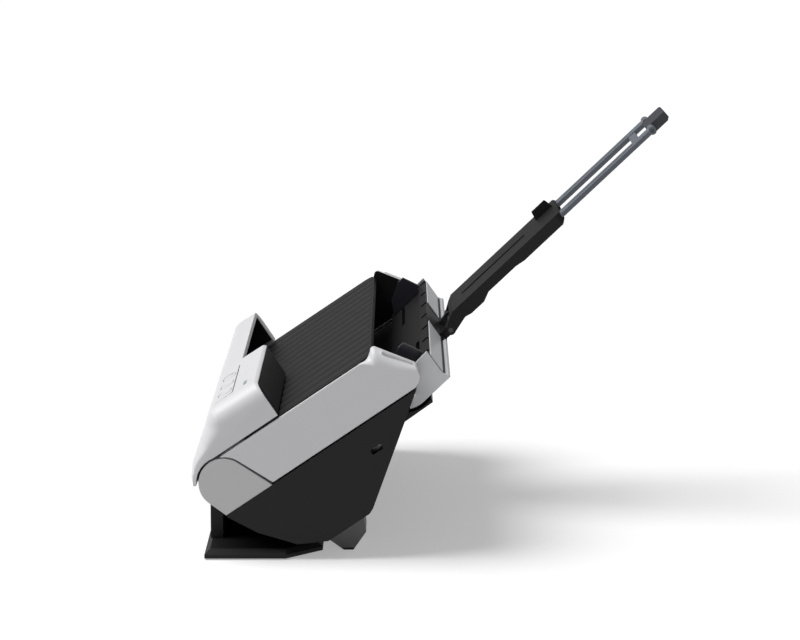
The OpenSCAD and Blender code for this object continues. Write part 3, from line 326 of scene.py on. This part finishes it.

# Ribbed cover
# One black ABS moulding over the paper path with shallow soft ribs from front to
# rear, painted lighter on their crests and darker in the hollows as painted
# highlight and shade; it laps over the side covers, of which only a thin white edge shows.
rib_step, rib_depth = 19.5, 0.26
rib_top, rib_floor = 13.95, 12.7
lap, fade_w, corner_w = 147.7, 4.0, 14.0
rib_abs = Finish("rib_abs")
across = rib_abs.place((2 * pi / (rib_step / 1000), 1.0, 1.0))
spread = rib_abs.add("ShaderNodeSeparateXYZ", {}, {"Vector": across})
# Painted highlight and shade: the colour is lighter along each rib's crest and darker in the hollows between.
painted_crest_light = rib_abs.add("ShaderNodeMath", {"operation": "COSINE"}, {0: spread}) * 0.5 + 0.5
speck = rib_abs.noise(0.0004, 3.0, 0.6)
cloud = rib_abs.noise(0.05)
# The cover's colour mixes the painted rib light and shade with a broad random cloud of tone.
rib_shade_and_tone = rib_abs.mix(painted_crest_light * 0.8 + cloud * 0.2, (0.010, 0.010, 0.011, 1.0), (0.026, 0.026, 0.027, 1.0))
grain = rib_abs.add("ShaderNodeBump", {}, {"Strength": 0.35, "Distance": 0.00002, "Height": speck})
rib_abs.end(rib_abs.add("ShaderNodeBsdfPrincipled", {}, {
    "Base Color": rib_shade_and_tone, "Roughness": 0.46 + 0.12 * speck, "Normal": grain, "Specular IOR Level": 0.25}))


def rib_height(x):
    """Height of the waves, which fade out at the two side edges."""
    return rib_top + rib_depth * cos(2 * pi * x / rib_step) * min(1.0, (lap - abs(x)) / fade_w)


def narrowed(x, reach):
    """The outer corner_w of each side draws in, so that the cover spans twice the reach."""
    outer = max(abs(x) - (lap - corner_w), 0.0)
    return copysign(abs(x) - outer * (lap - reach) / corner_w, x)


rib_steps = 300
stations = [-lap + 2 * lap * k / rib_steps for k in range(rib_steps + 1)]
# Where each ring lies up the path, how far it is rounded down, and its half-width
rib_ends = ((22.5, 0.5, lap), (23.2, 0.0, lap), (60.0, 0.0, lap), (98.0, 0.0, lap),
            (102.0, 0.0, 146.6), (104.0, 0.0, 144.6), (105.4, 0.0, 141.8), (106.3, 0.5, 138.4))
rib_rings = [[(narrowed(x, reach), u, rib_height(x) - drop) for x in stations]
             + [(narrowed(x, reach), u, rib_floor) for x in (lap, -lap)] for u, drop, reach in rib_ends]
fitted("soft_ribs", lofted(rib_rings), rib_abs.made, "upper_unit")

# Front panel
# One white ABS moulding over the whole front with rounded ends, its inner walls
# and undersides painted black as painted shade, open behind its lip, and with the
# control block and its keys at the right.
block_rear, panel_floor, gap_u = 46.3, 14.75, 2.9
lip_u, block_x = 30.3, 24.0
inner_half = 136.5
rear_points = [(block_rear, 24.0, 0.0), (block_rear, 35.0, 0.8), (44.8, 36.4, 1.2)]
top_points = [(30.0, 36.7, 0.0), (18.4, 37.0, 6.0), (15.5, 36.4, 6.0)]
face_points = [(12.7, 34.6, 8.0), (9.46, 31.5, 20.0), (0.36, 24.9, 40.0), (-8.87, 18.1, 14.0)]
tip_points = [(-13.6, 12.3, 8.0), (-15.2, 7.6, 0.4)]
floor_points = [Vector((gap_u, panel_floor)), Vector((block_rear, panel_floor))]
panel_outline = (filleted(rear_points + top_points + face_points + tip_points)
                 + arc(15.05, range(152, 79, -6)) + floor_points)


def end_draw(q):
    """The ends draw in by 10 mm at the top and front, and not at all at the tip and the rear floor."""
    block_u, lean_run, end_in = 18.0, 8.0, 10.0
    tip_r, tip_run, top_run = 16.5, 12.0, 22.0
    lean_u, lean_v = 6.5, 3.6
    if q.x > block_u:
        return Vector((0.0, -end_in * ramp(q.y, panel_floor, top_run)))
    lean = ramp(-q.x, -block_u, lean_run)
    return Vector((lean_u * lean, lean_v * lean - end_in)) * ramp(q.length, tip_r, tip_run)


def prism(outline, x0, x1):
    """A closed bmesh: the outline in u and v, drawn out from x0 to x1."""
    form = bmesh.new()
    base = form.faces.new([form.verts.new((x0, point[0], point[1])) for point in outline])
    grown = bmesh.ops.extrude_face_region(form, geom=[base])["geom"]
    far_end = [g for g in grown if isinstance(g, bmesh.types.BMVert)]
    bmesh.ops.translate(form, verts=far_end, vec=(x1 - x0, 0.0, 0.0))
    bmesh.ops.recalc_face_normals(form, faces=form.faces)
    return form


def bar(form, size, turn, middle):
    """Adds a box of that size to the bmesh, turned in the path's plane."""
    verts = bmesh.ops.create_cube(form, size=1.0)["verts"]
    bmesh.ops.scale(form, verts=verts, vec=size)
    bmesh.ops.rotate(form, verts=verts, cent=(0.0, 0.0, 0.0), matrix=Matrix.Rotation(radians(turn), 3, "Z"))
    bmesh.ops.translate(form, verts=verts, vec=middle)


def eased(form, edges, radius, segments):
    """Rounds the edges of the bmesh."""
    bmesh.ops.bevel(form, geom=edges, offset=radius, offset_type="OFFSET", segments=segments, profile=0.5,
                    affect="EDGES", clamp_overlap=True, material=-1)


def well(x, u, width, length, corner):
    """A rounded well, square to the path, for one key or the lens."""
    depth, middle_v = 12.0, 37.5
    form = bmesh.new()
    bar(form, (width, length, depth), 0.0, (x, u, middle_v))
    upright = [e for e in form.edges if abs(e.verts[0].co.z - e.verts[1].co.z) > depth / 2]
    eased(form, upright, corner, 4)
    return form


def groove(x, u, length, turn, width):
    """A shallow straight groove in the block's top, for one printed line."""
    form = bmesh.new()
    bar(form, (length, width, 1.0), turn, (x, u, 36.9))
    return form


def carved(name, form, cutters):
    """Mesh of a form from which the cutters' forms are taken away."""
    def held(label, shape):
        item = bpy.data.objects.new(label, as_mesh(label, shape))
        world_scene.collection.objects.link(item)
        return item
    body = held(name, form)
    tools = []
    for i, shape in enumerate(cutters):
        tool = held("%s_cutter_%d" % (name, i), shape)
        rule = body.modifiers.new("cut_%d" % i, "BOOLEAN")
        rule.operation = "DIFFERENCE"
        rule.solver = "EXACT"
        rule.object = tool
        tools.append(tool)
    mesh = bpy.data.meshes.new_from_object(body.evaluated_get(bpy.context.evaluated_depsgraph_get()))
    for item in tools + [body]:
        bpy.data.objects.remove(item)
    return mesh


def shaded_inside_panel(centre, normal):
    """Where the painted shade goes: the shell's inner walls and undersides, and the block's open rear below its
    top wall.
    """
    edge_u, wall_v, tip_u, near_middle = block_rear - 0.1, 34.4, -12.0, 60.0
    if centre.y > edge_u:
        return centre.z < wall_v
    behind_face = normal.y > 0.9 and centre.y < lip_u - 0.3
    under_top = normal.z < -0.5
    beside_room = (centre.length < near_middle and centre.y > tip_u and centre.z < wall_v + 0.1
                   and normal.y > -0.2 and -0.95 < normal.z < 0.6)
    return abs(centre.x) < inner_half + 0.1 and (behind_face or under_top or beside_room)


# The printed lines: x, u, length, turn in degrees, width and the height of the print
panel_lines = ((86.0, 29.7, 83.0, 0.0, 0.6, 36.74), (130.0, 24.0, 12.0, -70.0, 0.6, 36.84),
               (58.0, 22.9, 7.2, 70.0, 0.8, 36.9))
past_rear, past_floor, past_top, past_left = 60.0, -5.0, 45.0, -160.0
behind_lip = prism([(lip_u, past_floor), (past_rear, past_floor), (past_rear, past_top), (lip_u, past_top)],
                   past_left, block_x)
room_top = [(44.1, 34.0), (43.8, 34.2), (18.5, 34.8), (16.4, 34.3), (14.0, 32.7), (10.9, 29.8), (1.7, 23.1),
            (-7.2, 16.5), (-11.2, 11.2), (-11.6, 9.9)]
room_floor = [(gap_u, 10.0), (past_rear, 10.0), (past_rear, 33.9)]
room_under = prism(room_top + arc(15.4, range(139, 70, -8)) + room_floor, -inner_half, inner_half)
key_w, key_l, key_corner, key_row = 9.6, 8.6, 1.9, 24.0
wells = [well(x, key_row, key_w, key_l, key_corner) for x in (66.0, 90.0, 114.0)]
wells.append(well(123.0, 37.9, 11.2, 2.0, 0.3))
grooves = [groove(*line[:5]) for line in panel_lines]
right_end = rounded_end(panel_outline, 139.5, end_draw)
left_end = [[(-x, u, v) for x, u, v in ring] for ring in reversed(right_end)]
panel_mesh = carved("panel_form", lofted(left_end + right_end), [behind_lip, room_under] + wells + grooves)
shell = fitted("smooth_front_panel", panel_mesh, white_abs, "panel", "front_panel", "panel_ends")
# The shell's inner walls and undersides are painted black as painted shade.
shade_lined(shell, shaded_inside_panel)

# Panel marks
# Black lines printed in shallow grooves of the white panel, above and beside
# the keys; each is a hair smaller than its groove.
print_gap, print_t = 0.1, 0.4
marks = bmesh.new()
for x, u, length, turn, width, top in panel_lines:
    bar(marks, (length - 2 * print_gap, width - print_gap, print_t), turn, (x, u, top - print_t / 2))
eased(marks, marks.edges[:], 0.04, 2)
fitted("panel_marks", marks, trim_abs, "panel")

# Back plate of the control block
# A black ABS plate closes the block's rear, set just inside the white shell
# with its two top edges slightly round.
plate_u, plate_v = (44.6, 46.45), (15.2, 33.9)
plate = prism([(plate_u[0], plate_v[0]), (plate_u[1], plate_v[0]), (plate_u[1], plate_v[1]),
               (plate_u[0], plate_v[1])], block_x + 1.2, 141.5)
eased(plate, [e for e in plate.edges if all(v.co.z > plate_v[1] - 0.9 for v in e.verts)], 0.4, 3)
fitted("block_back_plate", plate, trim_abs, "panel", "panel_back")

# Hinge caps and rim inserts
# Pale grey round end caps that carry the hinge pins, and the grey strips let
# into the rims' sloping rear faces.
grey_abs = moulded("grey_abs", (0.73, 0.73, 0.74), 0.45)
wear(grey_abs, "hinge_cap_right", "hinge_cap_left", "rim_inserts")

# Lower housing, stand, tray floor and support arm
# The black ABS mouldings that carry everything else: the housing is screwed to
# the stand, and the insert and the arm's bracket are let into the tray.
black_abs = moulded("black_abs", (0.012, 0.012, 0.013), 0.48, depth=0.00003, gloss=0.25)
wear(black_abs, "lower_housing", "stand_base", "stand_wall", "stand_saddle", "tray_rest", "tray_insert",
     "arm_bracket", "arm", "dc_inlet")

# Solid ribbed cover and inner guides
# Charcoal ABS mouldings along the paper path: the cover's own floor under its
# soft ribs, the frame and guides inside, and the housings of the two sensors.
charcoal_abs = moulded("charcoal_abs", (0.016, 0.016, 0.017), 0.42, gloss=0.3)
wear(charcoal_abs, "ribbed_cover", "upper_frame", "output_guide", "lower_guide", "lower_sensor", "upper_sensor")

# Rear feet
# Two dark grey ABS feet, one at each end of the housing's rear edge, seated
# against its underside.
foot_abs = moulded("foot_abs", (0.25, 0.25, 0.255), 0.5)
wear(foot_abs, "rear_feet")

# Input tray
# A light grey ABS lid that folds over the hopper, with a wall along its outer
# end on each side of the support's bracket; the black insert ends just above.
tray_u, tray_v, tray_tilt = 112.6, -10.3, radians(9.5)
on_tray = on_path @ Matrix.Translation((0.0, tray_u, tray_v)) @ Matrix.Rotation(tray_tilt, 4, "X")
tray_abs = moulded("tray_abs", (0.81, 0.82, 0.84), 0.4)
wear(tray_abs, "tray_lid")
lip_outline = filleted([(18.75, -11.4, 0.1), (19.15, -11.4, 0.15), (20.9, 0.4, 0.2), (20.3, 0.4, 0.1)])
for name, x0, x1 in (("tray_lip_left", -131.6, -47.6), ("tray_lip_right", 19.6, 131.6)):
    fitted(name, prism(lip_outline, x0, x1), tray_abs, "tray", place=on_tray)

# Edge guides
# Two dark smooth ABS walls that slide together on the tray to hold the sheets
# straight; a toothed rack under each meets the pinion.
guide_abs = moulded("guide_abs", (0.05, 0.05, 0.065), 0.25)
wear(guide_abs, "edge_guide_right", "edge_guide_left")

# Rails of the support
# Two flat rails of painted steel that slide out of the arm, and the tie that
# holds them side by side near their outer ends.
rail_paint = moulded("rail_paint", (0.17, 0.19, 0.22), 0.4, gloss=0.3)
wear(rail_paint, "rail_right", "rail_left", "rail_tie")

# Sheet stop
# A slate ABS block on two pins between the ends of the rails, turned up to
# catch the sheets.
slate_abs = moulded("slate_abs", (0.048, 0.052, 0.061), 0.4)
wear(slate_abs, "end_stop")

# Pads, rollers and belt
# Black rubber: pads pressed into the stand's base, the rollers that move the
# sheets, and the belt from the motor to the driven rollers.
rubber = moulded("rubber", (0.02, 0.02, 0.021), 0.75)
wear(rubber, "rubber_pads", "drive_belt", "pickup_roller", "feed_roller", "turn_roller", "separation_roller",
     "feed_pinch_roller", "exit_roller", "exit_pinch_rollers")

# Circuit boards
# Green lacquered glass-fibre boards: the main one inside the housing, and a
# narrow one inside the panel, under its keys.
board = moulded("board", (0.02, 0.12, 0.06), 0.3)
wear(board, "main_board", "panel_board")


# Metal pieces
# Steel plates, pins, screws and motor with a drawn grain, darkened steel pins
# in the support, and the motor's turned brass pulley.
def metal(name, colour, rough):
    """Drawn metal with a fine grain along x."""
    finish = Finish(name)
    streak = finish.noise(0.0006, where=finish.place((1.0, 12.0, 12.0)))
    corner = finish.add("ShaderNodeBevel", {"samples": 4}, {"Radius": 0.0002})
    return finish.end(finish.add("ShaderNodeBsdfPrincipled", {}, {
        "Base Color": colour + (1.0,), "Metallic": 1.0, "Roughness": rough + 0.15 * streak, "Normal": corner}))


steel = metal("steel", (0.55, 0.55, 0.57), 0.25)
wear(steel, "stand_weight", "stand_screws", "housing_screws", "hinge_pins", "chassis_sides", "motor", "usb_port",
     "tray_pins")
dark_steel = metal("dark_steel", (0.09, 0.09, 0.10), 0.35)
wear(dark_steel, "arm_pin", "stop_pins")
brass = metal("brass", (0.7, 0.52, 0.25), 0.3)
wear(brass, "motor_pulley")

# Sensor glasses and status lens
# Clear smooth panes glued over the two line sensors, and the small lens of the
# status light in the panel.
clear = Finish("sensor_glass")
pane = clear.add("ShaderNodeBsdfPrincipled", {}, {
    "Base Color": (0.5, 0.6, 0.65, 1.0), "Roughness": 0.05 + 0.02 * clear.noise(0.01), "IOR": 1.45})
wear(clear.end(pane), "lower_sensor_glass", "upper_sensor_glass", "status_lens")
